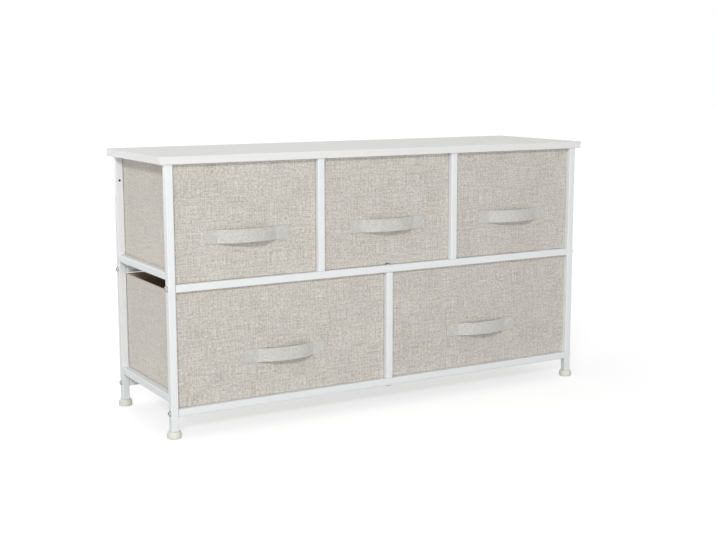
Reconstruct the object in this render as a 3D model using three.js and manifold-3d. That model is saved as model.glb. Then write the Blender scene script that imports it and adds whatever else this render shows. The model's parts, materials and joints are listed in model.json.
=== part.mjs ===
// Fabric drawer dresser: a steel tube frame under a board top, with five fabric drawers on steel runners.
// Millimetres, +Z up, the front faces -Y, the origin is on the floor under the middle of the board.
import * as THREE from 'three';
import { mergeVertices } from 'three/addons/utils/BufferGeometryUtils.js';
import Module from 'manifold-3d';

const wasm = await Module();
wasm.setup();

// Overall sizes
const boardLong = 1000;
const boardDeep = 300;
const boardThick = 15;
const boardEdgeRound = 0.8;
const overallHigh = 540;
const endOverhang = 12;
const frontOverhang = 5;

// Gaps
const touch = 0.3;
const boreGap = 0.3;
const overrun = 1;

// Frame tubes
const tubeSide = 15;
const tubeWall = 1.2;
const tubeRound = 1.6;

// Levels above the floor, and how far the side rails stand above the crossbars
const middleBarTop = 298;
const bottomBarTop = 57;
const middleSideRise = 24;
const bottomSideRise = 28;

// Threads, drawn plain
const boltRadius = 3;
const boltHeadRadius = 5.7;
const boltHeadHigh = 3;
const lowHeadHigh = 1.8;
const threadDeep = 12;
const threadBite = 11;
const footNutHigh = 8;

// Tabs that carry the board, and their screws
const plateThick = 2;
const tabLong = 22;
const ventRadius = 2;
const screwRadius = 2;
const screwHeadRadius = 4;
const screwHeadHigh = 2.2;
const screwBite = 10;

// Locating pins under the upper dividers
const pinRadius = 4;
const pinLong = 8;

// Hole for a wall strap in each rear leg
const wallHoleRadius = 2.5;
const wallHoleDrop = 50;

// Runners of folded sheet
const runnerRise = 12;
const sheetThick = 1.5;
const middleRunnerWide = 48;
const endRunnerWide = 26;
const endRunnerInset = 4;
const runnerLipDeep = 14;
const crownWide = 14;
const crownHigh = 7;
const runnerPlateDeep = 26;
const runnerScrewDrop = 7;
const runnerScrewInset = 8;
const runnerScrewBite = 5;

// Drawers
const frontRecess = 11;
const sideGap = 0.8;
const rearRecess = 5;
const fabricThick = 3;
const binCornerRound = 5;
const skirtGap = 0.5;
const boltReliefGap = 0.8;
const rimGap = 2;
const upperRimGap = 1.5;
const baseThick = 3;
const baseGap = 1.5;

// Strap handles
const strapLength = 180;
const strapHigh = 27;
const strapThick = 2.2;
const strapTab = 27;
const strapBow = 10.5;
const strapSag = 1.5;
const strapDrop = 28.5;
const strapCurvePower = 3;
const strapSteps = 20;

// Feet
const footHigh = 14.5;
const footRadius = 14;
const footEdge = 1.8;
const footNeckRadius = 12;
const studLong = 26;

// Facets
const tubeCornerSteps = 1;
const binCornerSteps = 2;
const holeSides = 10;
const boltSides = 12;
const screwSides = 8;
const footSides = 28;

// Places that follow from the sizes above
const frameHalfLong = boardLong / 2 - endOverhang;
const frameHalfDeep = boardDeep / 2 - frontOverhang;
const halfTube = tubeSide / 2;
const legX = frameHalfLong - halfTube;
const legY = frameHalfDeep - halfTube;
const innerHalfLong = frameHalfLong - tubeSide;
const innerHalfDeep = frameHalfDeep - tubeSide;
const boardUnder = overallHigh - boardThick;
const legBottom = footHigh + touch;
const legTop = boardUnder - touch;
const upperBay = (2 * innerHalfLong - 2 * tubeSide) / 3;
const lowerBay = (2 * innerHalfLong - tubeSide) / 2;
const upperDividerX = (upperBay + tubeSide) / 2;
const barHalfLong = innerHalfLong - touch;
const runnerLong = 2 * (innerHalfDeep - touch);
const endRunnerX = innerHalfLong - endRunnerInset - endRunnerWide / 2;
const frontThick = tubeSide - frontRecess;
const drawerFront = frontRecess - frameHalfDeep;
const drawerDeep = 2 * frameHalfDeep - frontRecess - rearRecess;
const middleBarUnder = middleBarTop - tubeSide;
const boltHoleRadius = boltRadius + boreGap;
const screwHoleRadius = screwRadius + boreGap;

const white = new THREE.Color(0.89, 0.9, 0.9);
const materials = {
  frame: { color: white, roughness: 0.38, metalness: 0.05 },
  board: { color: new THREE.Color(0.9, 0.9, 0.89), roughness: 0.5, metalness: 0 },
  runner: { color: white, roughness: 0.42, metalness: 0.1 },
  bolt: { color: new THREE.Color(0.55, 0.56, 0.56), roughness: 0.35, metalness: 0.8 },
  foot: { color: new THREE.Color(0.84, 0.83, 0.78), roughness: 0.6, metalness: 0 },
  fabric: { color: new THREE.Color(0.61, 0.57, 0.52), roughness: 0.95, metalness: 0 },
  strap: { color: new THREE.Color(0.65, 0.64, 0.61), roughness: 0.9, metalness: 0 },
  base: { color: new THREE.Color(0.16, 0.12, 0.09), roughness: 0.85, metalness: 0 },
};

/** A closed three.js geometry as a solid, with its shared corners merged. */
function toSolid(geometry) {
  const bare = geometry.clone();
  bare.deleteAttribute('normal');
  bare.deleteAttribute('uv');
  const merged = mergeVertices(bare);
  const faces = [];
  for (let i = 0; i < merged.index.count; i += 3) {
    const [a, b, c] = merged.index.array.slice(i, i + 3);
    if (a !== b && b !== c && c !== a) faces.push(a, b, c);
  }
  const vertProperties = Float32Array.from(merged.attributes.position.array);
  const triVerts = Uint32Array.from(faces);
  return new wasm.Manifold(new wasm.Mesh({ numProp: 3, vertProperties, triVerts }));
}

/** A solid as a flat-shaded three.js geometry. */
function toGeometry(solid) {
  const { vertProperties, triVerts } = solid.getMesh();
  const indexed = new THREE.BufferGeometry();
  indexed.setAttribute('position', new THREE.BufferAttribute(Float32Array.from(vertProperties), 3));
  indexed.setIndex(new THREE.BufferAttribute(Uint32Array.from(triVerts), 1));
  const flat = indexed.toNonIndexed();
  flat.computeVertexNormals();
  return flat;
}

function join(solids) {
  return solids.reduce((whole, next) => whole.add(next));
}

function cut(solid, tools) {
  return tools.reduce((rest, tool) => rest.subtract(tool), solid);
}

function inOrder(a, b) {
  return a < b ? [a, b] : [b, a];
}

/** A rectangle round the origin with rounded corners. */
function roundedRectangle(wide, high, radius) {
  const x = wide / 2 - radius;
  const y = high / 2 - radius;
  const shape = new THREE.Shape();
  shape.absarc(x, y, radius, 0, Math.PI / 2);
  shape.absarc(-x, y, radius, Math.PI / 2, Math.PI);
  shape.absarc(-x, -y, radius, Math.PI, 1.5 * Math.PI);
  shape.absarc(x, -y, radius, 1.5 * Math.PI, 2 * Math.PI);
  return shape;
}

/** A solid with the given section, from start to end along an axis: the section lies in YZ, XZ or XY. */
function prism(section, axis, start, end, cornerSteps = tubeCornerSteps) {
  const settings = { depth: end - start, bevelEnabled: false, curveSegments: cornerSteps };
  const geometry = new THREE.ExtrudeGeometry(section, settings);
  if (axis === 'x') {
    const turn = new THREE.Matrix4();
    turn.makeBasis(new THREE.Vector3(0, 1, 0), new THREE.Vector3(0, 0, 1), new THREE.Vector3(1, 0, 0));
    geometry.applyMatrix4(turn).translate(start, 0, 0);
  }
  if (axis === 'y') geometry.rotateX(Math.PI / 2).translate(0, end, 0);
  if (axis === 'z') geometry.translate(0, 0, start);
  return toSolid(geometry);
}

function block([x0, x1], [y0, y1], [z0, z1]) {
  const geometry = new THREE.BoxGeometry(x1 - x0, y1 - y0, z1 - z0);
  return toSolid(geometry.translate((x0 + x1) / 2, (y0 + y1) / 2, (z0 + z1) / 2));
}

/** A round bar or drill along an axis, from start to end. */
function rod(axis, radius, start, end, sides = holeSides) {
  const geometry = new THREE.CylinderGeometry(radius, radius, end - start, sides);
  geometry.translate(0, (start + end) / 2, 0);
  if (axis === 'x') geometry.rotateZ(-Math.PI / 2);
  if (axis === 'z') geometry.rotateX(Math.PI / 2);
  return toSolid(geometry);
}

/** A turned piece standing on Z, from points of radius and height that start and end on the axis. */
function turned(points, sides) {
  const profile = points.map(([radius, height]) => new THREE.Vector2(radius, height));
  return toSolid(new THREE.LatheGeometry(profile, sides).rotateX(Math.PI / 2));
}

/** The section of a folded sheet: its centre line widened to the sheet's thickness, with mitred folds. */
function foldedSheet(line, thick) {
  const points = line.map(([x, y]) => new THREE.Vector2(x, y));
  const normals = points.slice(1).map((point, i) => {
    const along = point.clone().sub(points[i]).normalize();
    return new THREE.Vector2(-along.y, along.x);
  });
  const offsets = points.map((point, i) => {
    const before = normals[Math.max(i - 1, 0)];
    const after = normals[Math.min(i, normals.length - 1)];
    const mitre = before.clone().add(after).divideScalar(1 + before.dot(after));
    return mitre.multiplyScalar(thick / 2);
  });
  const left = points.map((point, i) => point.clone().add(offsets[i]));
  const right = points.map((point, i) => point.clone().sub(offsets[i]));
  return new THREE.Shape([...right, ...left.reverse()]);
}

function tubeSection() {
  return roundedRectangle(tubeSide, tubeSide, tubeRound);
}

function hollowSection() {
  const side = tubeSide - 2 * tubeWall;
  return roundedRectangle(side, side, tubeRound - tubeWall);
}

/** A plug that fills the tube's hollow and bites into its wall, along an axis. */
function tubePlug(axis, start, end) {
  const side = tubeSide - tubeWall;
  return prism(roundedRectangle(side, side, tubeWall / 2), axis, start, end);
}

/** The flat tab at the top of a leg or divider that reaches towards the middle of the dresser. */
function topTab(y, inward, top) {
  const near = y + inward * (halfTube - tubeWall / 2);
  const far = y + inward * (halfTube + tabLong);
  return block([-halfTube, halfTube], inOrder(near, far), [top - plateThick, top]);
}

function tabScrewY(y, inward) {
  return y + inward * (halfTube + tabLong / 2);
}

/** One end of the dresser: two legs welded to a middle and a bottom side rail. */
function sideFrame() {
  const tubes = [];
  const hollows = [];
  const nuts = [];
  const bores = [];
  for (const side of [-1, 1]) {
    const y = side * legY;
    tubes.push(prism(tubeSection(), 'z', legBottom, legTop).translate([0, y, 0]));
    tubes.push(topTab(y, -side, legTop));
    const legHollow = prism(hollowSection(), 'z', legBottom - overrun, legTop - plateThick);
    hollows.push(legHollow.translate([0, y, 0]));
    nuts.push(tubePlug('z', legBottom, legBottom + footNutHigh).translate([0, y, 0]));
    const studBore = rod('z', boltHoleRadius, legBottom - overrun, legBottom + footNutHigh + overrun);
    bores.push(studBore.translate([0, y, 0]));
    const tabHole = rod('z', screwHoleRadius, legTop - plateThick - overrun, legTop + overrun);
    bores.push(tabHole.translate([0, tabScrewY(y, -side), 0]));
    for (const barTop of [middleBarTop, bottomBarTop]) {
      const boltHole = rod('x', boltHoleRadius, -halfTube - overrun, halfTube + overrun);
      bores.push(boltHole.translate([0, y, barTop - halfTube]));
    }
  }
  for (const railTop of [middleBarTop + middleSideRise, bottomBarTop + bottomSideRise]) {
    const z = railTop - halfTube;
    const halfRail = innerHalfDeep + tubeWall / 2;
    const halfHollow = innerHalfDeep + tubeWall + overrun;
    tubes.push(prism(tubeSection(), 'y', -halfRail, halfRail).translate([0, 0, z]));
    hollows.push(prism(hollowSection(), 'y', -halfHollow, halfHollow).translate([0, 0, z]));
  }
  const wallHole = rod('y', wallHoleRadius, legY - halfTube - overrun, legY + halfTube + overrun);
  bores.push(wallHole.translate([0, 0, boardUnder - wallHoleDrop]));
  const welded = cut(join(tubes), hollows);
  return cut(join([welded, ...nuts]), bores);
}

/** A front crossbar, with its inner face towards +Y. Pins enter from above, bolts go right through. */
function crossbar({ pinsAt, boltsAt, runnerScrewsAt }) {
  const tube = prism(tubeSection(), 'x', -barHalfLong, barHalfLong);
  const hollow = prism(hollowSection(), 'x', -barHalfLong - overrun, barHalfLong + overrun);
  const plugs = [];
  const bores = [];
  for (const end of [-1, 1]) {
    plugs.push(tubePlug('x', ...inOrder(end * barHalfLong, end * (barHalfLong - threadDeep))));
    const bore = inOrder(end * (barHalfLong + overrun), end * (barHalfLong - threadDeep - overrun));
    bores.push(rod('x', boltHoleRadius, ...bore));
  }
  for (const x of pinsAt) {
    bores.push(rod('z', pinRadius + boreGap, 0, halfTube + overrun).translate([x, 0, 0]));
  }
  for (const x of boltsAt) {
    bores.push(rod('z', boltHoleRadius, -halfTube - overrun, halfTube + overrun).translate([x, 0, 0]));
  }
  for (const x of runnerScrewsAt) {
    const hole = rod('y', screwHoleRadius, 0, halfTube + overrun, screwSides);
    bores.push(hole.translate([x, 0, halfTube - runnerScrewDrop]));
  }
  return cut(join([cut(tube, [hollow]), ...plugs]), bores);
}

/** An upper divider, standing on the middle crossbar with a pin and holding the board with a tab. */
function upperDivider(long) {
  const tube = prism(tubeSection(), 'z', 0, long);
  const hollow = prism(hollowSection(), 'z', threadDeep, long - plateThick);
  const pin = rod('z', pinRadius, -pinLong, tubeWall);
  const vent = rod('z', ventRadius, long - plateThick - overrun, long + overrun);
  const tabHole = rod('z', screwHoleRadius, long - plateThick - overrun, long + overrun);
  const body = join([cut(tube, [hollow]), topTab(0, 1, long), pin]);
  return cut(body, [vent, tabHole.translate([0, tabScrewY(0, 1), 0])]);
}

/** The lower divider, with a threaded plug in each end. */
function lowerDivider(long) {
  const tube = prism(tubeSection(), 'z', 0, long);
  const hollow = prism(hollowSection(), 'z', threadDeep, long - threadDeep);
  const bore = rod('z', boltHoleRadius, -overrun, long + overrun);
  return cut(tube, [hollow, bore]);
}

/** A runner with its top at z = 0, its end plates screwed to the crossbars' inner faces. */
function runner(line, plateWide, screwsAt) {
  const parts = [prism(foldedSheet(line, sheetThick), 'y', -runnerLong / 2, runnerLong / 2)];
  const screwZ = -runnerRise - runnerScrewDrop;
  for (const end of [-1, 1]) {
    const plateFaces = inOrder(end * runnerLong / 2, end * (runnerLong / 2 - sheetThick));
    parts.push(block([-plateWide / 2, plateWide / 2], plateFaces, [-runnerPlateDeep, -sheetThick / 2]));
    const headFace = end * (runnerLong / 2 - sheetThick - screwHeadHigh);
    const head = inOrder(headFace, end * (runnerLong / 2 - sheetThick / 2));
    const shank = inOrder(headFace, end * (runnerLong / 2 + touch + runnerScrewBite));
    for (const x of screwsAt) {
      parts.push(rod('y', screwHeadRadius, ...head, screwSides).translate([x, 0, screwZ]));
      parts.push(rod('y', screwRadius, ...shank, screwSides).translate([x, 0, screwZ]));
    }
  }
  return join(parts);
}

/** The runner between two drawers, with a crown that keeps them apart. */
function middleRunner() {
  const mid = -sheetThick / 2;
  const lip = middleRunnerWide / 2 - sheetThick / 2;
  const crown = crownWide / 2 - sheetThick / 2;
  const right = [[crown, crownHigh], [crown, mid], [lip, mid], [lip, -runnerLipDeep]];
  const left = right.map(([x, z]) => [-x, z]).reverse();
  const screwX = middleRunnerWide / 2 - runnerScrewInset;
  return runner([...left, ...right], middleRunnerWide, [-screwX, screwX]);
}

/** The runner at one end of the dresser, with its stiffening lip towards +X. */
function endRunner() {
  const mid = -sheetThick / 2;
  const lip = endRunnerWide / 2 - sheetThick / 2;
  return runner([[-endRunnerWide / 2, mid], [lip, mid], [lip, -runnerLipDeep]], endRunnerWide, [0]);
}

/** A bolt or screw with its head up and the underside of the head at z = 0. */
function bolt(headRadius, headHigh, radius, long, sides) {
  const domeShare = 0.55;
  const rimShare = 0.4;
  const outline = [
    [0, -long],
    [radius, -long],
    [radius, 0],
    [headRadius, 0],
    [headRadius, headHigh * rimShare],
    [headRadius * domeShare, headHigh],
    [0, headHigh],
  ];
  return turned(outline, sides);
}

/** A round plastic foot on a threaded stud. */
function foot() {
  const waistShare = 0.72;
  const outline = [
    [0, 0],
    [footRadius - footEdge, 0],
    [footRadius, footEdge],
    [footRadius, footHigh * waistShare],
    [footNeckRadius, footHigh],
    [boltRadius, footHigh],
    [boltRadius, footHigh + studLong],
    [0, footHigh + studLong],
  ];
  return turned(outline, footSides);
}

/** The board, with blind holes for the tab screws. */
function topBoard(screwPlaces) {
  const edge = boardEdgeRound;
  const outline = roundedRectangle(boardLong - 2 * edge, boardDeep - 2 * edge, edge);
  const geometry = new THREE.ExtrudeGeometry(outline, {
    depth: boardThick - 2 * edge,
    bevelThickness: edge,
    bevelSize: edge,
    bevelSegments: 1,
    curveSegments: 1,
  });
  const board = toSolid(geometry.translate(0, 0, edge));
  const hole = rod('z', screwHoleRadius, -overrun, screwBite + overrun);
  return cut(board, screwPlaces.map(([x, y]) => hole.translate([x, y, 0])));
}

/** The notch in a front's bottom edge that lets it pass over a bolt head on the crossbar. */
function boltRelief() {
  const halfWide = boltHeadRadius + boltReliefGap;
  const top = touch + lowHeadHigh + boltReliefGap;
  const through = [drawerFront - overrun, drawerFront + frontThick + overrun];
  return block([-halfWide, halfWide], through, [0, top]);
}

/** A fabric bin on the runners, its stiff front hanging before their ends. z = 0 is the crossbar's top. */
function bin(wide, high, reliefs) {
  const middleY = drawerFront + drawerDeep / 2;
  const bodyBottom = runnerRise + touch;
  const outline = roundedRectangle(wide, drawerDeep, binCornerRound);
  const walls = prism(outline, 'z', bodyBottom, high, binCornerSteps).translate([0, middleY, 0]);
  const skirt = prism(outline, 'z', skirtGap, high, binCornerSteps).translate([0, middleY, 0]);
  const frontFaces = [drawerFront - overrun, drawerFront + frontThick];
  const frontBox = block([-wide, wide], frontFaces, [0, high + overrun]);
  const inner = [drawerFront + frontThick, drawerFront + drawerDeep - fabricThick];
  const insideRound = binCornerRound - fabricThick;
  const insideSection = roundedRectangle(wide - 2 * fabricThick, inner[1] - inner[0], insideRound);
  const inside = prism(insideSection, 'z', bodyBottom + fabricThick, high + overrun, binCornerSteps);
  const shell = join([walls, skirt.intersect(frontBox)]);
  return cut(shell, [inside.translate([0, (inner[0] + inner[1]) / 2, 0]), ...reliefs]);
}

/** The stiff board that lies loose on the floor of a bin. */
function baseBoard(wide) {
  const front = drawerFront + frontThick + baseGap;
  const back = drawerFront + drawerDeep - fabricThick - baseGap;
  const boardWide = wide - 2 * (fabricThick + baseGap);
  const section = roundedRectangle(boardWide, back - front, binCornerRound - fabricThick);
  const bottom = runnerRise + touch + fabricThick + touch;
  const sheet = prism(section, 'z', bottom, bottom + baseThick, binCornerSteps);
  return sheet.translate([0, (front + back) / 2, 0]);
}

/** How far the strap stands off the drawer's front and sags at a place along it, as a share of the most. */
function strapShare(x) {
  const halfFree = strapLength / 2 - strapTab;
  return Math.max(0, 1 - Math.abs(x / halfFree) ** strapCurvePower);
}

/** A strap sewn flat at both ends and bowed off the front between, with its back at y = 0. */
function strap() {
  const halfFree = strapLength / 2 - strapTab;
  const free = Array.from({ length: strapSteps + 1 }, (_, i) => halfFree * (2 * i / strapSteps - 1));
  const places = [-strapLength / 2, ...free, strapLength / 2];
  const back = places.map((x) => new THREE.Vector2(x, -strapBow * strapShare(x)));
  const face = back.map((point) => new THREE.Vector2(point.x, point.y - strapThick)).reverse();
  const settings = { depth: strapHigh, bevelEnabled: false };
  const geometry = new THREE.ExtrudeGeometry(new THREE.Shape([...back, ...face]), settings);
  const spots = geometry.attributes.position;
  for (let i = 0; i < spots.count; i += 1) {
    spots.setZ(i, spots.getZ(i) - strapHigh / 2 - strapSag * strapShare(spots.getX(i)));
  }
  return toSolid(geometry);
}

const dresser = new THREE.Group();

/** Adds one piece, made from a solid, at a place and with a turn about each axis. */
function add(name, solid, materialName, [x, y, z], [turnX, turnY, turnZ] = [0, 0, 0]) {
  const mesh = new THREE.Mesh(toGeometry(solid), new THREE.MeshStandardMaterial(materials[materialName]));
  mesh.name = name;
  mesh.position.set(x, y, z);
  mesh.rotation.set(turnX, turnY, turnZ);
  dresser.add(mesh);
}

const ends = [['left', -1], ['right', 1]];
const faces = [['front', -1], ['rear', 1]];
const turnFor = (side) => [0, 0, side < 0 ? 0 : Math.PI];

function addSideFrames() {
  const frame = sideFrame();
  for (const [end, x] of ends) add(`side_frame_${end}`, frame, 'frame', [x * legX, 0, 0]);
}

function addCrossbars() {
  const nearScrew = upperDividerX - middleRunnerWide / 2 + runnerScrewInset;
  const farScrew = upperDividerX + middleRunnerWide / 2 - runnerScrewInset;
  const midScrew = middleRunnerWide / 2 - runnerScrewInset;
  const bothSides = (places) => places.flatMap((x) => [-x, x]);
  const middle = crossbar({
    pinsAt: bothSides([upperDividerX]),
    boltsAt: [0],
    runnerScrewsAt: bothSides([nearScrew, farScrew, endRunnerX]),
  });
  const bottom = crossbar({ pinsAt: [], boltsAt: [0], runnerScrewsAt: bothSides([midScrew, endRunnerX]) });
  for (const [face, y] of faces) {
    add(`crossbar_middle_${face}`, middle, 'frame', [0, y * legY, middleBarTop - halfTube], turnFor(y));
    add(`crossbar_bottom_${face}`, bottom, 'frame', [0, y * legY, bottomBarTop - halfTube], turnFor(y));
  }
}

function addDividers() {
  const upperFoot = middleBarTop + touch;
  const lowerFoot = bottomBarTop + touch;
  const upper = upperDivider(legTop - upperFoot);
  const lower = lowerDivider(middleBarUnder - touch - lowerFoot);
  for (const [face, y] of faces) {
    for (const [end, x] of ends) {
      const place = [x * upperDividerX, y * legY, upperFoot];
      add(`divider_upper_${end}_${face}`, upper, 'frame', place, turnFor(y));
    }
    add(`divider_lower_${face}`, lower, 'frame', [0, y * legY, lowerFoot], turnFor(y));
  }
}

function addRunners() {
  const middle = middleRunner();
  const edge = endRunner();
  const upperTop = middleBarTop + runnerRise;
  const lowerTop = bottomBarTop + runnerRise;
  for (const [end, x] of ends) {
    const turn = turnFor(x);
    add(`runner_upper_${end}_inner`, middle, 'runner', [x * upperDividerX, 0, upperTop]);
    add(`runner_upper_${end}_outer`, edge, 'runner', [x * endRunnerX, 0, upperTop], turn);
    add(`runner_lower_${end}_outer`, edge, 'runner', [x * endRunnerX, 0, lowerTop], turn);
  }
  add('runner_lower_middle', middle, 'runner', [0, 0, lowerTop]);
}

function addBoltsAndFeet() {
  const boltLong = tubeSide + 2 * touch + threadBite;
  const barBolt = bolt(boltHeadRadius, boltHeadHigh, boltRadius, boltLong, boltSides);
  const dividerBolt = bolt(boltHeadRadius, lowHeadHigh, boltRadius, boltLong, boltSides);
  const stand = foot();
  for (const [end, x] of ends) {
    for (const [face, y] of faces) {
      const outer = x * (frameHalfLong + touch);
      const turn = [0, x * Math.PI / 2, 0];
      add(`bolt_middle_${end}_${face}`, barBolt, 'bolt', [outer, y * legY, middleBarTop - halfTube], turn);
      add(`bolt_bottom_${end}_${face}`, barBolt, 'bolt', [outer, y * legY, bottomBarTop - halfTube], turn);
      add(`foot_${end}_${face}`, stand, 'foot', [x * legX, y * legY, 0]);
    }
  }
  for (const [face, y] of faces) {
    add(`bolt_divider_top_${face}`, dividerBolt, 'bolt', [0, y * legY, middleBarTop + touch]);
    const under = bottomBarTop - tubeSide - touch;
    add(`bolt_divider_bottom_${face}`, dividerBolt, 'bolt', [0, y * legY, under], [Math.PI, 0, 0]);
  }
}

function addBoardAndScrews() {
  const screwLong = plateThick + 2 * touch + screwBite;
  const screw = bolt(screwHeadRadius, screwHeadHigh, screwRadius, screwLong, screwSides);
  const places = [];
  for (const [end, x] of ends) {
    for (const [face, y] of faces) {
      const screwY = tabScrewY(y * legY, -y);
      const under = legTop - plateThick - touch;
      for (const [holder, screwX] of [['leg', x * legX], ['divider', x * upperDividerX]]) {
        const place = [screwX, screwY, under];
        add(`board_screw_${holder}_${end}_${face}`, screw, 'bolt', place, [Math.PI, 0, 0]);
        places.push([screwX, screwY]);
      }
    }
  }
  add('top_board', topBoard(places), 'board', [0, 0, boardUnder]);
}

/** The drawers of one tier: each is a bin with its base board and strap handle. */
function addDrawers(tier, bay, places, barTop, rim) {
  const wide = bay - 2 * sideGap;
  const high = rim - barTop;
  const board = baseBoard(wide);
  const handle = strap();
  const strapZ = barTop + (skirtGap + high) / 2 - strapDrop;
  for (const [place, x] of places) {
    const reliefs = place === 'middle' ? [boltRelief()] : [];
    add(`drawer_${tier}_${place}_bin`, bin(wide, high, reliefs), 'fabric', [x, 0, barTop]);
    add(`drawer_${tier}_${place}_base_board`, board, 'base', [x, 0, barTop]);
    add(`drawer_${tier}_${place}_handle_strap`, handle, 'strap', [x, drawerFront - touch, strapZ]);
  }
}

addSideFrames();
addCrossbars();
addDividers();
addRunners();
addBoltsAndFeet();
addBoardAndScrews();
const upperPitch = upperBay + tubeSide;
const lowerPitch = lowerBay + tubeSide;
const upperPlaces = [['left', -upperPitch], ['middle', 0], ['right', upperPitch]];
const lowerPlaces = [['left', -lowerPitch / 2], ['right', lowerPitch / 2]];
addDrawers('upper', upperBay, upperPlaces, middleBarTop, boardUnder - upperRimGap);
addDrawers('lower', lowerBay, lowerPlaces, bottomBarTop, middleBarUnder - rimGap);

export default dresser;
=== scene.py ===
"""Dresses the fabric drawer dresser: its camera, light, materials, fabric drawers, straps, bolts and feet."""
import json
import math
from collections import namedtuple

import bpy
import bmesh
from mathutils import Matrix, Vector, noise

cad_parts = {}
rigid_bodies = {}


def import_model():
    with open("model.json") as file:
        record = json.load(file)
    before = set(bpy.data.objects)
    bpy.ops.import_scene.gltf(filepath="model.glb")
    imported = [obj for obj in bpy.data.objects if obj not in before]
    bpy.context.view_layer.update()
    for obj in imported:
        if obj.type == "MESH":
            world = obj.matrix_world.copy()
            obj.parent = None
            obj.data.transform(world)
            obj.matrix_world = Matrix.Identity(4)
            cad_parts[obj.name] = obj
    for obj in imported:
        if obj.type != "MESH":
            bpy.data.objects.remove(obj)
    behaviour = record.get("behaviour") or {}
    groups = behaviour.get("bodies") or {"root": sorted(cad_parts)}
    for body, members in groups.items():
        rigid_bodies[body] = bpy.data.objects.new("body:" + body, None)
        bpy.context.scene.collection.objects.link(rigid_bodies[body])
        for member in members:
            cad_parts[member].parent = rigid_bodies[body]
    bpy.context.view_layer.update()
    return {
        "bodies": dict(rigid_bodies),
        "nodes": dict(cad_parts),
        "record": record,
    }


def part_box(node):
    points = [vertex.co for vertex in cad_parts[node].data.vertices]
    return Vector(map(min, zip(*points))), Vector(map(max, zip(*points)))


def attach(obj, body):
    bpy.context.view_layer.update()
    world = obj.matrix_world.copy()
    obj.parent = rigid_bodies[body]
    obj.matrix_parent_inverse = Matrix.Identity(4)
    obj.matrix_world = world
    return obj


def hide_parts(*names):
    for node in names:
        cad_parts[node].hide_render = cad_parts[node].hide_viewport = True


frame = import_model()
mm = 0.001

# Camera, as fitted to the photograph: the picture's size, the focal length and the axis in its pixels
picture_wide_px = 716
picture_high_px = 540
focal_px = 1222.1
axis_px = (372.84, 262.26)
camera_place = (-1.3121, -2.2788, 0.6954)
camera_azimuth = 0.5370
camera_pitch = 0.1550
sensor_wide = 36.0

# Lamps, in watts, degrees to the left of the front, and metres, all turned to one point of the dresser
Lamp = namedtuple("Lamp", "power azimuth distance height size")
lamps = {
    "key": Lamp(power=68.0, azimuth=36.0, distance=4.0, height=2.0, size=(0.8, 0.4)),
    "fill": Lamp(power=51.0, azimuth=8.0, distance=4.5, height=0.55, size=(2.4, 0.9)),
    "side": Lamp(power=15.0, azimuth=80.0, distance=4.0, height=0.9, size=(1.6, 1.0)),
    "back": Lamp(power=50.0, azimuth=168.0, distance=4.5, height=0.7, size=(2.4, 1.2)),
    "top": Lamp(power=15.5, azimuth=180.0, distance=1.0, height=2.6, size=(2.4, 2.4)),
}
lamp_aim = (0, 0, 0.3)

# Sky and floor, whose glow grows from a near to a far distance
sky_level = 0.36
floor_size = 30
floor_grey = 0.55
floor_rough = 0.9
floor_specular = 0.1
floor_glow = 0.63
floor_far_glow = 0.86
floor_near = 0.8
floor_far = 3.0

# Colours
frame_colour = (0.828, 0.845, 0.85)
runner_shade_share = 0.98
# Near-black inside the legs' bores: bare steel, darkened as painted shade inside the tubes
bare_steel_and_shade = (0.03, 0.028, 0.026)
board_colour = (0.825, 0.825, 0.812)
bolt_colour = (0.5, 0.51, 0.52)
foot_colour = (0.78, 0.77, 0.7)
base_colour = (0.12, 0.095, 0.072)
lining_colour = (0.62, 0.49, 0.36)
stitch_colour = (0.62, 0.6, 0.55)

# Grain of a finish: its noise in cycles per metre along X, Y and Z, the two levels of noise between which the
# colour goes from one share of itself to the other, the roughness with its swing down and up, and the relief
common_octave_share = 0.55
Grain = namedtuple("Grain", "scale detail octave_share levels shade_shares rough swing relief strength sheen")
paint_grain = Grain(
    scale=(14, 14, 14), detail=4.0, octave_share=common_octave_share,
    levels=(0.3, 0.7), shade_shares=(0.975, 1), rough=0.38, swing=(0.05, 0.07),
    relief=0.04 * mm, strength=0.5, sheen=0,
)
runner_grain = paint_grain._replace(rough=0.44)
laminate_grain = Grain(
    scale=(6, 260, 260), detail=5.0, octave_share=0.6,
    levels=(0.35, 0.65), shade_shares=(0.972, 1), rough=0.5, swing=(0.06, 0.08),
    relief=0.05 * mm, strength=0.35, sheen=0,
)
plastic_grain = Grain(
    scale=(700, 700, 700), detail=3.0, octave_share=common_octave_share,
    levels=(0.3, 0.7), shade_shares=(0.96, 1), rough=0.5, swing=(0.05, 0.1),
    relief=0.05 * mm, strength=0.4, sheen=0,
)
zinc_grain = Grain(
    scale=(900, 900, 900), detail=3.0, octave_share=common_octave_share,
    levels=(0.3, 0.7), shade_shares=(0.8, 1), rough=0.34, swing=(0.06, 0.11),
    relief=0.02 * mm, strength=0.3, sheen=0,
)
lining_grain = Grain(
    scale=(420, 420, 420), detail=4.0, octave_share=0.7,
    levels=(0.3, 0.7), shade_shares=(0.7, 1.3), rough=0.95, swing=None,
    relief=0.3 * mm, strength=0.5, sheen=0.15,
)
zinc_metallic = 0.9
peel_scale = (1400, 1400, 1400)
peel_detail = 2.0

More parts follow.
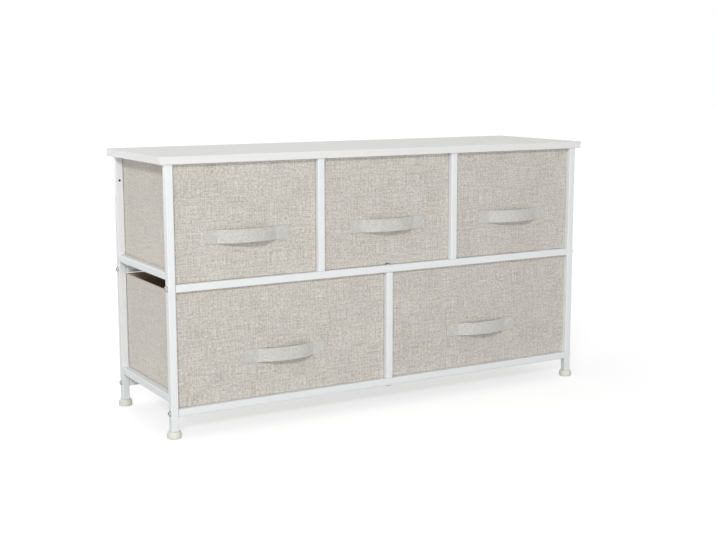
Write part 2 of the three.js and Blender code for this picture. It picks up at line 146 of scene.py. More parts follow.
# Cloth: its shades, the width of a thread, the length of a slub, how far from the middle level of its noise
# the darkest and lightest shades lie, and whether it runs on round the corners
Cloth = namedtuple("Cloth", "dark middle light thread slub spread round_corners")
linen = Cloth(
    dark=(0.41, 0.38, 0.342), middle=(0.60, 0.568, 0.522), light=(0.785, 0.75, 0.695),
    thread=0.7 * mm, slub=45 * mm, spread=0.18, round_corners=True,
)
webbing = Cloth(
    dark=(0.47, 0.463, 0.438), middle=(0.61, 0.605, 0.575), light=(0.76, 0.755, 0.72),
    thread=0.5 * mm, slub=14 * mm, spread=0.25, round_corners=False,
)
middle_level = 0.5
cloth_rough = 0.92
cloth_specular = 0.2
cloth_sheen = 0.8
cloth_sheen_rough = 0.5
cloth_sheen_tint = (1, 0.93, 0.85)
cloth_relief = 0.35 * mm
cloth_relief_strength = 0.6
thread_relief_share = 0.35

# Layers of the cloth's shade: their noise in cycles per metre or per thread, and what share each one adds
slub_across = 480
mottle_low = 180
mottle_high = 360
cloud_scale = 12
cycles_per_thread = 0.8
slub_share = 0.2
mottle_share = 0.24
thread_share = 0.06
cloud_share = 0.06

# Bores of the legs
leg_x = 480.5 * mm
leg_y = 137.5 * mm
leg_bore_half = 6.6 * mm

# Walls of a fabric drawer. Rows of a profile are shares of one size, (up, inward)
bin_round = 5 * mm
front_panel = 2.4 * mm
front_thick = 4 * mm
wall_thick = 3 * mm
wall_inset = 0.7 * mm
wall_margin = 2 * mm
wall_steps = 12
wall_ripple = 0.25 * mm
ripple_size = 60 * mm
skirt_drop = 11.8 * mm
bottom_edge = 1.6 * mm
bottom_edge_shares = ((0, 1), (3 / 8, 1 / 4))
floor_corner = 1 * mm

# Hem and rim of a fabric drawer
hem_high = 14 * mm
hem_inset = 0.25 * mm
hem_step = 0.5 * mm
hem_under_shares = ((-1, 1 / 5), (0, 0))
hem_over_shares = ((6 / 5, 0),)
hem_seam_up = 3.8 * mm
hem_seam_half = 0.6 * mm
hem_seam_edge = 0.1 * mm
hem_seam_deep = 0.35 * mm
rim_round = 1.6 * mm
rim_shares = ((-1, 0), (-1 / 2, 5 / 32), (-5 / 32, 1 / 2), (0, 15 / 16))
rim_fold = 0.4 * mm
rim_fold_shares = ((-1, -3 / 4), (-3, 0))

# Front of a fabric drawer
front_side_spare = 0.15 * mm
front_top_rise = 0.8 * mm
front_corner_round = 3 * mm
front_side_steps = (96, 72)
front_corner_steps = 4
front_edge_round = 0.9 * mm
front_edge_steps = 4
front_back_edge = 0.3 * mm
front_ripple = 0.5 * mm
front_ripple_gain = 12
front_ring_shares = (0.985, 0.96, 0.92, 0.85, 0.76, 0.66, 0.55, 0.44, 0.32, 0.2, 0.08)
seam_inset = 3.2 * mm
seam_half = 0.7 * mm
seam_deep = 0.22 * mm

# Notch in one front over the bolt head on the crossbar
notched_drawer = "drawer_upper_middle"
notch_half = 7 * mm
notch_high = 2.6 * mm
notch_gain = 2.2
notch_reach = 12 * mm

# Strap handles. Rows of the hem are shares, (out, down), of half the thickness and of the hem
strap_thick = 2.2 * mm
strap_tab = 27 * mm
strap_bow = 18 * mm
strap_pinch_share = 0.05
strap_curve_power = 2.4
strap_ease_share = 0.09
strap_tilt = 3 * mm
strap_spare = 0.75 * mm
strap_hem = 3 * mm
strap_hem_shares = ((0.3, 0), (0.85, 2 / 15), (1, 2 / 5), (0.98, 4 / 5), (0.7, 1), (0.92, 1.35))
strap_face_shares = (0.4, 0.0)
strap_steps = 72
strap_probe = 1 * mm
strap_end = 1 * mm
strap_end_shares = ((0, 0.6), (0.5, 0.95))
strap_end_narrow_share = 0.04

# Stitches on the straps' tabs
stitch_long = 2.6 * mm
stitch_pitch = 3.4 * mm
stitch_thick = 0.35 * mm
stitch_sunk_share = 0.35
stitch_inset = 4.5 * mm

# Bolts and screws. Rows of the head are shares of its radius and its height
round_steps = 48
bolt_shank = 3 * mm
bolt_head_high = 3 * mm
low_head_high = 1.8 * mm
extra_head = 1.2 * mm
screw_shank = 2 * mm
screw_head_high = 2.2 * mm
shank_tip = 0.6 * mm
shank_tip_share = 0.8
head_shares = ((0.97, -1), (1, -0.93), (1, -0.55), (0.97, -0.38), (0.86, -0.16), (0.7, -0.04), (0.56, 0))
socket_share = 0.45
socket_mouth_share = 1.04
socket_floor_share = 0.2
socket_edge = 0.1 * mm
socket_deep = 1.6 * mm
socket_deep_share = 0.7

# Feet and their studs. Rows of a foot's side, from the underside up, are (in from its radius, high) in mm
foot_high = 14.5 * mm
foot_base_rows = ((3.2, 0.3), (2.6, 0), (1.5, 0.1), (0.5, 0.7), (0.05, 1.9), (0, 3))
foot_top_rows = ((0, 8.2), (0.2, 9.4), (0.7, 10.5), (1.6, 12.6), (2.4, 13.9), (3.1, 14.35), (4, 14.5))
stud_radius = 3 * mm
stud_collar = 0.2 * mm
stud_collar_high = 0.3 * mm
stud_tip_inset = 0.7 * mm
stud_tip = 0.6 * mm


# Mesh building

def loft(name, rings, material, inner_material=None, inner_from=None):
    """A closed surface through rings of equally many points, capped at both ends."""
    mesh = bmesh.new()
    made = [[mesh.verts.new(point) for point in ring] for ring in rings]
    count = len(rings[0])
    for level, (lower, upper) in enumerate(zip(made, made[1:])):
        for i in range(count):
            j = (i + 1) % count
            face = mesh.faces.new((lower[i], lower[j], upper[j], upper[i]))
            face.material_index = 1 if inner_from is not None and level >= inner_from else 0
    mesh.faces.new(reversed(made[0]))
    last = mesh.faces.new(made[-1])
    last.material_index = 1 if inner_from is not None else 0
    bmesh.ops.recalc_face_normals(mesh, faces=mesh.faces)
    return finish_mesh(name, mesh, [material] + ([inner_material] if inner_material else []))


def finish_mesh(name, mesh, materials, sharp_degrees=40):
    """A piece in the scene from a built mesh, smooth but for its sharp edges."""
    data = bpy.data.meshes.new(name)
    mesh.to_mesh(data)
    mesh.free()
    data.shade_smooth()
    data.set_sharp_from_angle(angle=math.radians(sharp_degrees))
    for material in materials:
        data.materials.append(material)
    piece = bpy.data.objects.new(name, data)
    bpy.context.scene.collection.objects.link(piece)
    return piece


def rounded_ring(half_x, half_y, radius, side_steps=(24, 24), corner_steps=5):
    """Points round a rectangle with rounded corners, in order, with the outward direction of each."""
    corners = [(1, 1, 0), (-1, 1, 90), (-1, -1, 180), (1, -1, 270)]
    points = []
    for index, (sx, sy, start) in enumerate(corners):
        centre = Vector((sx * (half_x - radius), sy * (half_y - radius)))
        for step in range(corner_steps + 1):
            angle = math.radians(start + 90 * step / corner_steps)
            out = Vector((math.cos(angle), math.sin(angle)))
            points.append((centre + out * radius, out))
        next_sx, next_sy, _ = corners[(index + 1) % 4]
        end = Vector((next_sx * (half_x - radius), next_sy * (half_y - radius))) + out * radius
        start_point = centre + out * radius
        steps = side_steps[index % 2]
        for step in range(1, steps):
            points.append((start_point.lerp(end, step / steps), out))
    return points


def box_ring(x0, y0, x1, y1, radius):
    """The centre of a box seen from above, and the rounded ring round it."""
    centre = ((x0 + x1) / 2, (y0 + y1) / 2)
    return centre, rounded_ring((x1 - x0) / 2, (y1 - y0) / 2, radius)


def place_ring(points, centre, level, shrink, plane="xy"):
    """Puts a ring of (point, outward) pairs at a level, moved inward by shrink."""
    ring = []
    for point, out in points:
        spot = point - out * shrink
        if plane == "xy":
            ring.append(Vector((centre[0] + spot.x, centre[1] + spot.y, level)))
        else:
            ring.append(Vector((centre[0] + spot.x, level, centre[1] + spot.y)))
    return ring


def profile_rows(level, inset, size, shares):
    """Rows of a profile as (level, inset), from a start and a table of shares of one size."""
    return [(level + size * up, inset + size * inward) for up, inward in shares]


# Shader nodes

def material_nodes(name, roughness, metallic=0.0):
    material = bpy.data.materials.new(name)
    material.use_nodes = True
    tree = material.node_tree
    shader = tree.nodes["Principled BSDF"]
    shader.inputs["Roughness"].default_value = roughness
    shader.inputs["Metallic"].default_value = metallic
    return material, tree, shader


def object_coordinates(tree):
    return tree.nodes.new("ShaderNodeTexCoord").outputs["Object"]


def axes_of(tree, where):
    """The X, Y and Z of a place."""
    split = tree.nodes.new("ShaderNodeSeparateXYZ")
    tree.links.new(where, split.inputs[0])
    return split.outputs


def stretched_noise(tree, coordinates, scale, detail, octave_share=common_octave_share):
    """Noise with its own scale along each axis, in cycles per metre."""
    mapping = tree.nodes.new("ShaderNodeMapping")
    mapping.inputs["Scale"].default_value = scale
    texture = tree.nodes.new("ShaderNodeTexNoise")
    texture.inputs["Scale"].default_value = 1.0
    texture.inputs["Detail"].default_value = detail
    texture.inputs["Roughness"].default_value = octave_share
    tree.links.new(coordinates, mapping.inputs["Vector"])
    tree.links.new(mapping.outputs["Vector"], texture.inputs["Vector"])
    return texture.outputs["Fac"]


def math_node(tree, operation, first, second=0.0):
    """A sum, product or the like, of numbers or sockets."""
    node = tree.nodes.new("ShaderNodeMath")
    node.operation = operation
    for socket, value in zip(node.inputs, (first, second)):
        if isinstance(value, (int, float)):
            socket.default_value = value
        else:
            tree.links.new(value, socket)
    return node.outputs[0]


def colour_ramp(tree, factor, stops):
    """A colour that a factor picks between (position, colour) stops."""
    ramp = tree.nodes.new("ShaderNodeValToRGB")
    elements = ramp.color_ramp.elements
    for position, _ in stops[1:-1]:
        elements.new(position)
    for element, (position, colour) in zip(elements, stops):
        element.position = position
        element.color = (*colour, 1)
    tree.links.new(factor, ramp.inputs["Fac"])
    return ramp.outputs["Color"]


def value_range(tree, factor, low, high):
    """A node that turns a factor from nought to one into a value from low to high."""
    node = tree.nodes.new("ShaderNodeMapRange")
    node.inputs["To Min"].default_value = low
    node.inputs["To Max"].default_value = high
    tree.links.new(factor, node.inputs["Value"])
    return node


def bump(tree, shader, height, relief, strength):
    node = tree.nodes.new("ShaderNodeBump")
    node.inputs["Distance"].default_value = relief
    node.inputs["Strength"].default_value = strength
    tree.links.new(height, node.inputs["Height"])
    tree.links.new(node.outputs["Normal"], shader.inputs["Normal"])


def seen_rays(tree, strength):
    """A strength for the rays that the camera, gloss or glass sees, and none for the light that falls."""
    rays = tree.nodes.new("ShaderNodeLightPath")
    seen = math_node(tree, "MAXIMUM", rays.outputs["Is Camera Ray"], rays.outputs["Is Glossy Ray"])
    seen = math_node(tree, "MAXIMUM", seen, rays.outputs["Is Transmission Ray"])
    return math_node(tree, "MULTIPLY", seen, strength)


def shaded(colour, share):
    return tuple(channel * share for channel in colour)


# Materials with a grain

def grain_noise(tree, where, grain):
    return stretched_noise(tree, where, grain.scale, grain.detail, grain.octave_share)


def grain_colour(tree, level, colour, grain):
    """A colour that goes from one share of itself to another with the level of the noise."""
    stops = [(place, shaded(colour, share)) for place, share in zip(grain.levels, grain.shade_shares)]
    return colour_ramp(tree, level, stops)


def swing_roughness(tree, shader, level, grain):
    """Lets the roughness swing with the level of the noise."""
    down, up = grain.swing
    node = value_range(tree, level, grain.rough - down, grain.rough + up)
    tree.links.new(node.outputs["Result"], shader.inputs["Roughness"])


def grained(name, colour, grain, metallic=0.0):
    """A material whose colour, relief and, where it swings, roughness follow one noise."""
    material, tree, shader = material_nodes(name, grain.rough, metallic)
    shader.inputs["Sheen Weight"].default_value = grain.sheen
    level = grain_noise(tree, object_coordinates(tree), grain)
    tree.links.new(grain_colour(tree, level, colour, grain), shader.inputs["Base Color"])
    if grain.swing:
        swing_roughness(tree, shader, level, grain)
    bump(tree, shader, level, grain.relief, grain.strength)
    return material


def laminate(name, colour):
    """Matt laminate with a faint lengthwise grain."""
    return grained(name, colour, laminate_grain)


def zinc(name, colour):
    """Zinc plating with a fine spangle."""
    return grained(name, colour, zinc_grain, zinc_metallic)


def plastic(name, colour):
    """Moulded plastic, or plastic thread, with a fine speckle."""
    return grained(name, colour, plastic_grain)


def lining(name, colour):
    """Non-woven lining: matt and slightly fuzzy."""
    return grained(name, colour, lining_grain)


def bore_share(tree, where):
    """One inside the bores of the four legs, where the colour goes near black as bare steel and painted
    shade, and nought outside them.
    """
    axes = axes_of(tree, where)
    inside = 1.0
    for axis, centre in (("X", leg_x), ("Y", leg_y)):
        off = math_node(tree, "SUBTRACT", math_node(tree, "ABSOLUTE", axes[axis]), centre)
        near = math_node(tree, "LESS_THAN", math_node(tree, "ABSOLUTE", off), leg_bore_half)
        inside = math_node(tree, "MULTIPLY", near, inside)
    return inside


def painted_steel(name, colour, grain):
    """Powder coat: faint clouds in colour and gloss, a fine orange peel, and near-black bare steel and
    painted shade in the bores.
    """
    material, tree, shader = material_nodes(name, grain.rough)
    where = object_coordinates(tree)
    clouds = grain_noise(tree, where, grain)
    mix = tree.nodes.new("ShaderNodeMix")
    mix.data_type = "RGBA"
    # Inside the bores the colour is near black: bare steel and painted shade
    tree.links.new(bore_share(tree, where), mix.inputs["Factor"])
    tree.links.new(grain_colour(tree, clouds, colour, grain), mix.inputs["A"])
    mix.inputs["B"].default_value = (*bare_steel_and_shade, 1)
    tree.links.new(mix.outputs["Result"], shader.inputs["Base Color"])
    swing_roughness(tree, shader, clouds, grain)
    peel = stretched_noise(tree, where, peel_scale, peel_detail)
    bump(tree, shader, peel, grain.relief, grain.strength)
    return material


# Cloth

def cloth_shade(tree, cloth, along, up):
    """The sum of the cloth's layers of noise: slubs and mottle both ways, threads and clouds."""
    flat = tree.nodes.new("ShaderNodeCombineXYZ")
    tree.links.new(along, flat.inputs["X"])
    tree.links.new(up, flat.inputs["Y"])
    slub = 1 / cloth.slub
    thread = cycles_per_thread / cloth.thread
    layers = [
        (slub, slub_across, slub_share),
        (slub_across, slub, slub_share),
        (mottle_low, mottle_high, mottle_share),
        (mottle_high, mottle_low, mottle_share),
        (thread, thread, thread_share),
        (cloud_scale, cloud_scale, cloud_share),
    ]
    mixed = 0.0
    for scale_along, scale_up, share in layers:
        layer = stretched_noise(tree, flat.outputs[0], (scale_along, scale_up, 1), detail=0.0)
        mixed = math_node(tree, "ADD", mixed, math_node(tree, "MULTIPLY", layer, share))
    return mixed


def weave(name, cloth):
    """Linen-look cloth: warp and weft threads with slubs, running along the face and up it."""
    material, tree, shader = material_nodes(name, cloth_rough)
    shader.inputs["Sheen Weight"].default_value = cloth_sheen
    shader.inputs["Sheen Roughness"].default_value = cloth_sheen_rough
    shader.inputs["Sheen Tint"].default_value = (*cloth_sheen_tint, 1)
    shader.inputs["Specular IOR Level"].default_value = cloth_specular
    axes = axes_of(tree, object_coordinates(tree))
    along = axes["X"]
    up = axes["Z"]
    if cloth.round_corners:
        along = math_node(tree, "ADD", along, axes["Y"])
    shade = cloth_shade(tree, cloth, along, up)
    stops = [
        (middle_level - cloth.spread, cloth.dark),
        (middle_level, cloth.middle),
        (middle_level + cloth.spread, cloth.light),
    ]
    tree.links.new(colour_ramp(tree, shade, stops), shader.inputs["Base Color"])
    turn = math.pi / cloth.thread
    over = math_node(tree, "SINE", math_node(tree, "MULTIPLY", along, turn))
    under = math_node(tree, "SINE", math_node(tree, "MULTIPLY", up, turn))
    threads = math_node(tree, "MULTIPLY", math_node(tree, "MULTIPLY", over, under), thread_relief_share)
    bump(tree, shader, math_node(tree, "ADD", threads, shade), cloth_relief, cloth_relief_strength)
    return material


finishes = {
    "frame_white": painted_steel("frame_paint", frame_colour, paint_grain),
    "runner_white": painted_steel("runner_paint", shaded(frame_colour, runner_shade_share), runner_grain),
    "board_white": laminate("board_laminate", board_colour),
    "bolt_steel": zinc("bolt_zinc", bolt_colour),
    "foot_cream": plastic("foot_plastic", foot_colour),
    "fabric_greige": weave("drawer_linen", linen),
    "strap_grey": weave("strap_webbing", webbing),
    "base_dark": lining("base_cloth", base_colour),
}
drawer_lining = lining("drawer_lining", lining_colour)
stitch_thread = plastic("stitch_thread", stitch_colour)


def dress_cad_nodes():
    """Gives every solid of the frame the finish of its slot."""
    slots = {entry["node"]: entry["material_slot"] for entry in frame["record"]["subparts"]}
    for name, node in frame["nodes"].items():
        for slot in node.material_slots:
            slot.material = finishes[slots[name]]


# Fabric drawers

def ripple(point, amount):
    """A soft, fixed unevenness of stiffened cloth."""
    return amount * noise.noise(point / ripple_size)


def drawer_body(drawer):
    """The four walls and floor of a drawer, with a hem round the rim and a lining."""
    low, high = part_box(f"{drawer}_bin")
    bottom = low.z + skirt_drop
    hem = high.z - hem_high
    outer = box_ring(low.x, low.y + front_panel, high.x, high.y, bin_round)
    inner_front = low.y + front_thick - wall_ripple
    inner_right = high.x - wall_thick
    inner_back = high.y - wall_thick
    inner = box_ring(low.x + wall_thick, inner_front, inner_right, inner_back, bin_round - wall_thick)
    reach = hem - bottom - 2 * wall_margin
    levels = [bottom + wall_margin + reach * i / wall_steps for i in range(wall_steps + 1)]
    outside = profile_rows(bottom, wall_inset, bottom_edge, bottom_edge_shares)
    outside += [(z, wall_inset) for z in levels]
    outside += hem_and_rim(hem, high.z)
    inside = profile_rows(high.z, 0, rim_fold, rim_fold_shares)
    inside += [(z, 0) for z in reversed(levels)]
    inside.append((bottom + wall_thick, floor_corner))
    rings = [rippled_ring(outer, z, shrink, z > levels[0]) for z, shrink in outside]
    rings += [rippled_ring(inner, z, shrink, False) for z, shrink in inside]
    piece = loft(f"{drawer}_walls", rings, finishes["fabric_greige"], drawer_lining, len(outside))
    dress_drawer_piece(piece, drawer)


def hem_and_rim(hem, rim):
    """Rows up the turned hem, over its seam, to the rounded rim."""
    seam = hem + hem_seam_up
    seam_edge = hem_inset + hem_seam_edge
    rows = profile_rows(hem, wall_inset, hem_step, hem_under_shares)
    rows += profile_rows(hem, hem_inset, hem_step, hem_over_shares)
    rows.append((seam - hem_seam_half, seam_edge))
    rows.append((seam, hem_inset + hem_seam_deep))
    rows.append((seam + hem_seam_half, seam_edge))
    return rows + profile_rows(rim, hem_inset, rim_round, rim_shares)


def rippled_ring(ring, level, shrink, soft):
    """A placed ring, pushed in and out by the ripple where the cloth is soft."""
    centre, points = ring
    placed = place_ring(points, centre, level, shrink)
    if not soft:
        return placed
    moved = []
    for spot, (_, out) in zip(placed, points):
        amount = ripple(spot, wall_ripple)
        moved.append(spot + Vector((out.x * amount, out.y * amount, 0)))
    return moved


def dress_drawer_piece(piece, drawer):
    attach(piece, drawer)
    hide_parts(f"{drawer}_bin")


def drawer_front(drawer):
    """The stiff front of a drawer: rounded edges, a sewn seam inside them, and on one a notch."""
    low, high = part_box(f"{drawer}_bin")
    top = high.z + front_top_rise
    centre = ((low.x + high.x) / 2, (low.z + top) / 2)
    half_x = (high.x - low.x) / 2 - front_side_spare
    half_z = (top - low.z) / 2
    ring = rounded_ring(half_x, half_z, front_corner_round, front_side_steps, front_corner_steps)
    rows = front_edge_rows(low.y + front_panel, low.y)
    rings = [place_ring(ring, centre, level, shrink, "xz") for level, shrink in rows]
    outline = rings[-1]
    rings += [puffed_ring(outline, centre, low.y, share) for share in front_ring_shares]
    if drawer == notched_drawer:
        rings = [[notched(spot, low.z) for spot in placed] for placed in rings]
    piece = loft(f"{drawer}_front", rings, finishes["fabric_greige"])
    dress_drawer_piece(piece, drawer)


def front_edge_rows(back, face):
    """Rows from a front's back, round its edge, to the near and far side of its seam."""
    rows = [(back, front_back_edge), (back - front_back_edge, 0)]
    for step in range(front_edge_steps + 1):
        angle = math.radians(90 * step / front_edge_steps)
        level = face + front_edge_round * (1 - math.sin(angle))
        rows.append((level, front_edge_round * (1 - math.cos(angle))))
    rows.append((face, seam_inset - seam_half))
    rows.append((face + seam_deep, seam_inset))
    rows.append((face, seam_inset + seam_half))
    return rows


def puffed_ring(outline, centre, face, share):
    """The front's outline drawn in to a share of its size, and pushed in by the ripple."""
    ring = []
    for spot in outline:
        x = centre[0] + (spot.x - centre[0]) * share
        z = centre[1] + (spot.z - centre[1]) * share
        puff = ripple(Vector((x, face, z)), front_ripple) * min(1, (1 - share) * front_ripple_gain)
        ring.append(Vector((x, face + abs(puff), z)))
    return ring


def notched(spot, bottom):
    """Lifts a front's bottom edge over the bolt head on the crossbar."""
    near = max(0, 1 - abs(spot.x) / notch_half)
    lift = notch_high * min(1, notch_gain * near)
    height = spot.z - bottom
    if height >= notch_reach:
        return spot
    return Vector((spot.x, spot.y, spot.z + lift * (1 - height / notch_reach)))


# Strap handles

def strap_share(x, half_free):
    """How far the strap stands off at a place along it: none on the sewn tabs, most in the middle."""
    rise = max(0.0, 1 - abs(x / half_free) ** strap_curve_power)
    ease = strap_ease_share
    return (math.hypot(rise, ease) - ease) / (math.hypot(1, ease) - ease)


def strap_slope(x, half_free):
    """How steeply the strap comes back to the front at a place along it."""
    before = strap_share(x - strap_probe, half_free)
    after = strap_share(x + strap_probe, half_free)
    return strap_bow * (before - after) / (2 * strap_probe)


def strap_places(half_long):
    """Places along the strap, with the size of its section, which is less at both ends."""
    ends = [(half_long - strap_end * inward, size) for inward, size in strap_end_shares]
    reach = half_long - strap_end
    middle = [(reach * (2 * i / strap_steps - 1), 1) for i in range(strap_steps + 1)]
    return [(-x, size) for x, size in ends] + middle + list(reversed(ends))


def strap_section(half_high):
    """Points round the strap's section, as (out, up), with a rolled hem along both long edges."""
    half = strap_thick / 2
    side = [(half * out, half_high - strap_hem * down) for out, down in strap_hem_shares]
    side += [(half, half_high * share) for share in strap_face_shares]
    lower = [(out, -up) for out, up in reversed(side[:-1])]
    face = side + lower
    return face + [(-out, up) for out, up in reversed(face)]


def strap_handle(drawer):
    """A folded cloth strap, sewn flat at its ends, and bowed, tilted and a little narrower between them."""
    low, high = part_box(f"{drawer}_handle_strap")
    middle_x = (low.x + high.x) / 2
    half_long = (high.x - low.x) / 2
    half_free = half_long - strap_tab
    half_high = (high.z - low.z) / 2 - strap_spare
    centre_z = high.z - half_high
    back = high.y
    section = strap_section(half_high)
    rings = []
    for x, size in strap_places(half_long):
        share = strap_share(x, half_free)
        out = Vector((strap_slope(x, half_free), -1, 0)).normalized()
        narrow = 1 - strap_end_narrow_share * (1 - size)
        ring = []
        for off, up in section:
            level = half_high + (up * narrow - half_high) * (1 - strap_pinch_share * share)
            spot = Vector((middle_x + x, back - strap_thick / 2 - strap_bow * share, centre_z + level))
            spot += out * off * size
            spot.y += strap_tilt * share * up / half_high
            ring.append(spot)
        rings.append(ring)
    piece = loft(f"{drawer}_strap", rings, finishes["strap_grey"])
    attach(piece, drawer)
    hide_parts(f"{drawer}_handle_strap")
    stitches(drawer, middle_x, half_long, half_high, centre_z, back)


def stitches(drawer, middle_x, half_long, half_high, centre_z, back):
    """A sewn box on each end tab of a strap."""
    mesh = bmesh.new()
    face = back - strap_thick - stitch_thick * stitch_sunk_share
    half_w = strap_tab / 2 - stitch_inset
    half_h = half_high - stitch_inset
    corners = [(-half_w, -half_h), (half_w, -half_h), (half_w, half_h), (-half_w, half_h)]
    for side in (-1, 1):
        tab_centre = middle_x + side * (half_long - strap_tab / 2)
        for (x0, z0), (x1, z1) in zip(corners, corners[1:] + corners[:1]):
            count = max(1, round(math.hypot(x1 - x0, z1 - z0) / stitch_pitch))
            turn = math.atan2(z1 - z0, x1 - x0)
            for i in range(count):
                share = (i + 0.5) / count
                spot = Vector((tab_centre + x0 + (x1 - x0) * share, face, centre_z + z0 + (z1 - z0) * share))
                shape = Matrix.Translation(spot) @ Matrix.Rotation(-turn, 4, "Y")
                shape = shape @ Matrix.Diagonal((stitch_long / 2, stitch_thick, stitch_thick, 1))
                bmesh.ops.create_icosphere(mesh, subdivisions=1, radius=1, matrix=shape)
    piece = finish_mesh(f"{drawer}_strap_stitches", mesh, [stitch_thread])
    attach(piece, drawer)


# Bolts, screws and feet

def hexagon_share(angle):
    """A hexagon's radius at an angle, as a share of its corner radius."""
    return math.cos(math.pi / 6) / math.cos((angle + math.pi / 6) % (math.pi / 3) - math.pi / 6)


def turned(name, profile, matrix, material):
    """A turned piece about Z, from (radius, height, is hexagonal) rows, put in place by a matrix."""
    rings = []
    for radius, height, hexagonal in profile:
        ring = []
        for step in range(round_steps):
            angle = 2 * math.pi * step / round_steps
            reach = radius * (hexagon_share(angle) if hexagonal else 1)
            ring.append(matrix @ Vector((reach * math.cos(angle), reach * math.sin(angle), height)))
        rings.append(ring)
    return loft(name, rings, material)


def head_side(node, middle):
    """The side along its axis on which a bolt's head lies: outward on the legs, down under tabs and rails."""
    if node.startswith("bolt_divider_top"):
        return 1
    if node.startswith(("bolt_divider_bottom", "board_screw")):
        return -1
    return 1 if middle.x > 0 else -1


def bolt_form(node):
    """Head height and shank radius."""
    if node.startswith("board_screw"):
        return screw_head_high, screw_shank
    return (low_head_high if "divider" in node else bolt_head_high), bolt_shank


def bolt_profile(radius, length, head_high, shank):
    """Rows of a bolt from its tip up the shank, over the domed head and down into the hexagon socket."""
    corner = radius * socket_share
    deep = min(socket_deep, head_high * socket_deep_share)
    rows = [(shank * shank_tip_share, -length, False), (shank, -length + shank_tip, False)]
    rows.append((shank, -head_high, False))
    rows += [(radius * share, head_high * level, False) for share, level in head_shares]
    rows += [(corner * socket_mouth_share, 0, True), (corner, -socket_edge, True), (corner, -deep, True)]
    rows.append((corner * socket_floor_share, -deep - socket_edge, True))
    return rows


def socket_bolt(node):
    """A domed bolt with a hexagon socket, lying as its plain solid does, with its head on the same side."""
    low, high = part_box(node)
    middle = (low + high) / 2
    size = high - low
    axis = max(range(3), key=lambda i: size[i])
    radius = max(size[i] for i in range(3) if i != axis) / 2
    outward = head_side(node, middle)
    direction = Vector((0, 0, 0))
    direction[axis] = outward
    head_top = Vector(middle)
    head_top[axis] = high[axis] if outward > 0 else low[axis]
    head_high, shank = bolt_form(node)
    if node.startswith("bolt_divider_bottom"):
        head_top.z -= extra_head
        size.z += extra_head
        head_high += extra_head
    turn = direction.to_track_quat("Z", "Y").to_matrix().to_4x4()
    matrix = Matrix.Translation(head_top) @ turn
    profile = bolt_profile(radius, size[axis], head_high, shank)
    piece = turned(f"{node}_head", profile, matrix, finishes["bolt_steel"])
    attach(piece, "frame")
    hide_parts(node)


def round_foot(node):
    """A moulded foot with a soft base edge and a rounded, coned top, on its threaded stud."""
    low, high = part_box(node)
    middle = (low + high) / 2
    radius = (high.x - low.x) / 2
    rows = [(radius - inward * mm, level * mm) for inward, level in foot_base_rows + foot_top_rows]
    rows += [(stud_radius + stud_collar, foot_high), (stud_radius, foot_high + stud_collar_high)]
    rows += [(stud_radius, high.z - stud_tip), (stud_radius - stud_tip_inset, high.z)]
    profile = [(reach, level, False) for reach, level in rows]
    matrix = Matrix.Translation((middle.x, middle.y, 0))
    piece = turned(f"{node}_moulding", profile, matrix, finishes["foot_cream"])
    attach(piece, node)
    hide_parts(node)


# Stage, light and camera

def floor_material():
    """A white floor that keeps the shadow and glows for the camera, gloss and glass, more so far out."""
    material, tree, shader = material_nodes("floor_white", floor_rough)
    shader.inputs["Base Color"].default_value = (floor_grey, floor_grey, floor_grey, 1)
    shader.inputs["Specular IOR Level"].default_value = floor_specular
    shader.inputs["Emission Color"].default_value = (1, 1, 1, 1)
    away = tree.nodes.new("ShaderNodeVectorMath")
    away.operation = "LENGTH"
    tree.links.new(object_coordinates(tree), away.inputs[0])
    glow = value_range(tree, away.outputs["Value"], floor_glow, floor_far_glow)
    glow.inputs["From Min"].default_value = floor_near
    glow.inputs["From Max"].default_value = floor_far
    tree.links.new(seen_rays(tree, glow.outputs["Result"]), shader.inputs["Emission Strength"])
    return material


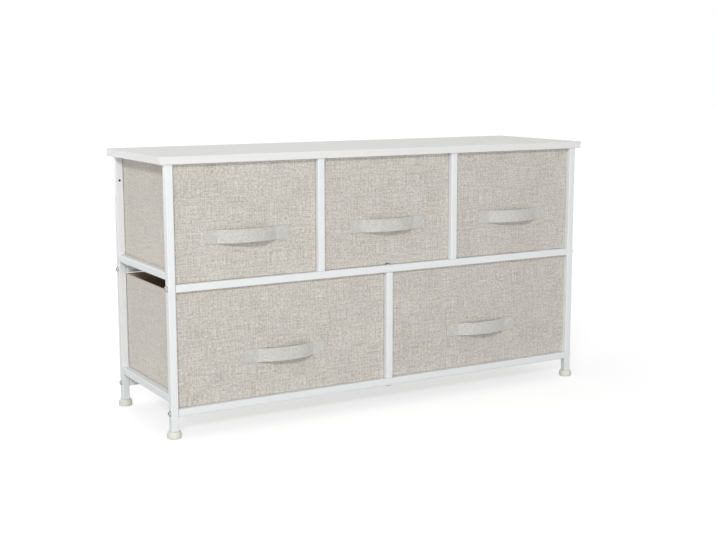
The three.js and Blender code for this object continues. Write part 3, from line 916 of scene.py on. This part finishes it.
def add_stage():
    """A wide floor and a white sky."""
    bpy.ops.mesh.primitive_plane_add(size=floor_size)
    floor = bpy.context.object
    floor.name = "floor"
    floor.data.materials.append(floor_material())
    world = bpy.data.worlds.new("studio")
    bpy.context.scene.world = world
    world.use_nodes = True
    tree = world.node_tree
    background = tree.nodes["Background"]
    background.inputs["Color"].default_value = (1, 1, 1, 1)
    level = math_node(tree, "ADD", seen_rays(tree, 1 - sky_level), sky_level)
    tree.links.new(level, background.inputs["Strength"])


def add_lamp(name, lamp):
    """A rectangular soft box, placed round the dresser and turned to the aim."""
    light = bpy.data.lights.new(name, "AREA")
    light.shape = "RECTANGLE"
    light.size, light.size_y = lamp.size
    light.energy = lamp.power
    turn = math.radians(lamp.azimuth)
    place = Vector((-lamp.distance * math.sin(turn), -lamp.distance * math.cos(turn), lamp.height))
    softbox = bpy.data.objects.new(name, light)
    softbox.location = place
    softbox.rotation_euler = (Vector(lamp_aim) - place).to_track_quat("-Z", "Y").to_euler()
    bpy.context.scene.collection.objects.link(softbox)


def add_camera():
    """The photograph's camera, from its fitted focal length, axis, place and direction."""
    data = bpy.data.cameras.new("camera")
    data.sensor_width = sensor_wide
    data.lens = sensor_wide * focal_px / picture_wide_px
    data.shift_x = (picture_wide_px / 2 - axis_px[0]) / picture_wide_px
    data.shift_y = (axis_px[1] - picture_high_px / 2) / picture_wide_px
    camera = bpy.data.objects.new("camera", data)
    a, e = camera_azimuth, camera_pitch
    ahead = Vector((math.sin(a) * math.cos(e), math.cos(a) * math.cos(e), -math.sin(e)))
    right = Vector((math.cos(a), -math.sin(a), 0))
    up = right.cross(ahead)
    turn = Matrix((right, up, -ahead)).transposed().to_4x4()
    camera.matrix_world = Matrix.Translation(camera_place) @ turn
    bpy.context.scene.collection.objects.link(camera)
    bpy.context.scene.camera = camera


dress_cad_nodes()
for drawer in [body for body in frame["bodies"] if body.startswith("drawer")]:
    drawer_body(drawer)
    drawer_front(drawer)
    strap_handle(drawer)
for node in list(frame["nodes"]):
    if node.startswith(("bolt", "board_screw")):
        socket_bolt(node)
    if node.startswith("foot"):
        round_foot(node)
add_stage()
for name, lamp in lamps.items():
    add_lamp(name, lamp)
add_camera()
bpy.context.scene.view_settings.view_transform = "Standard"
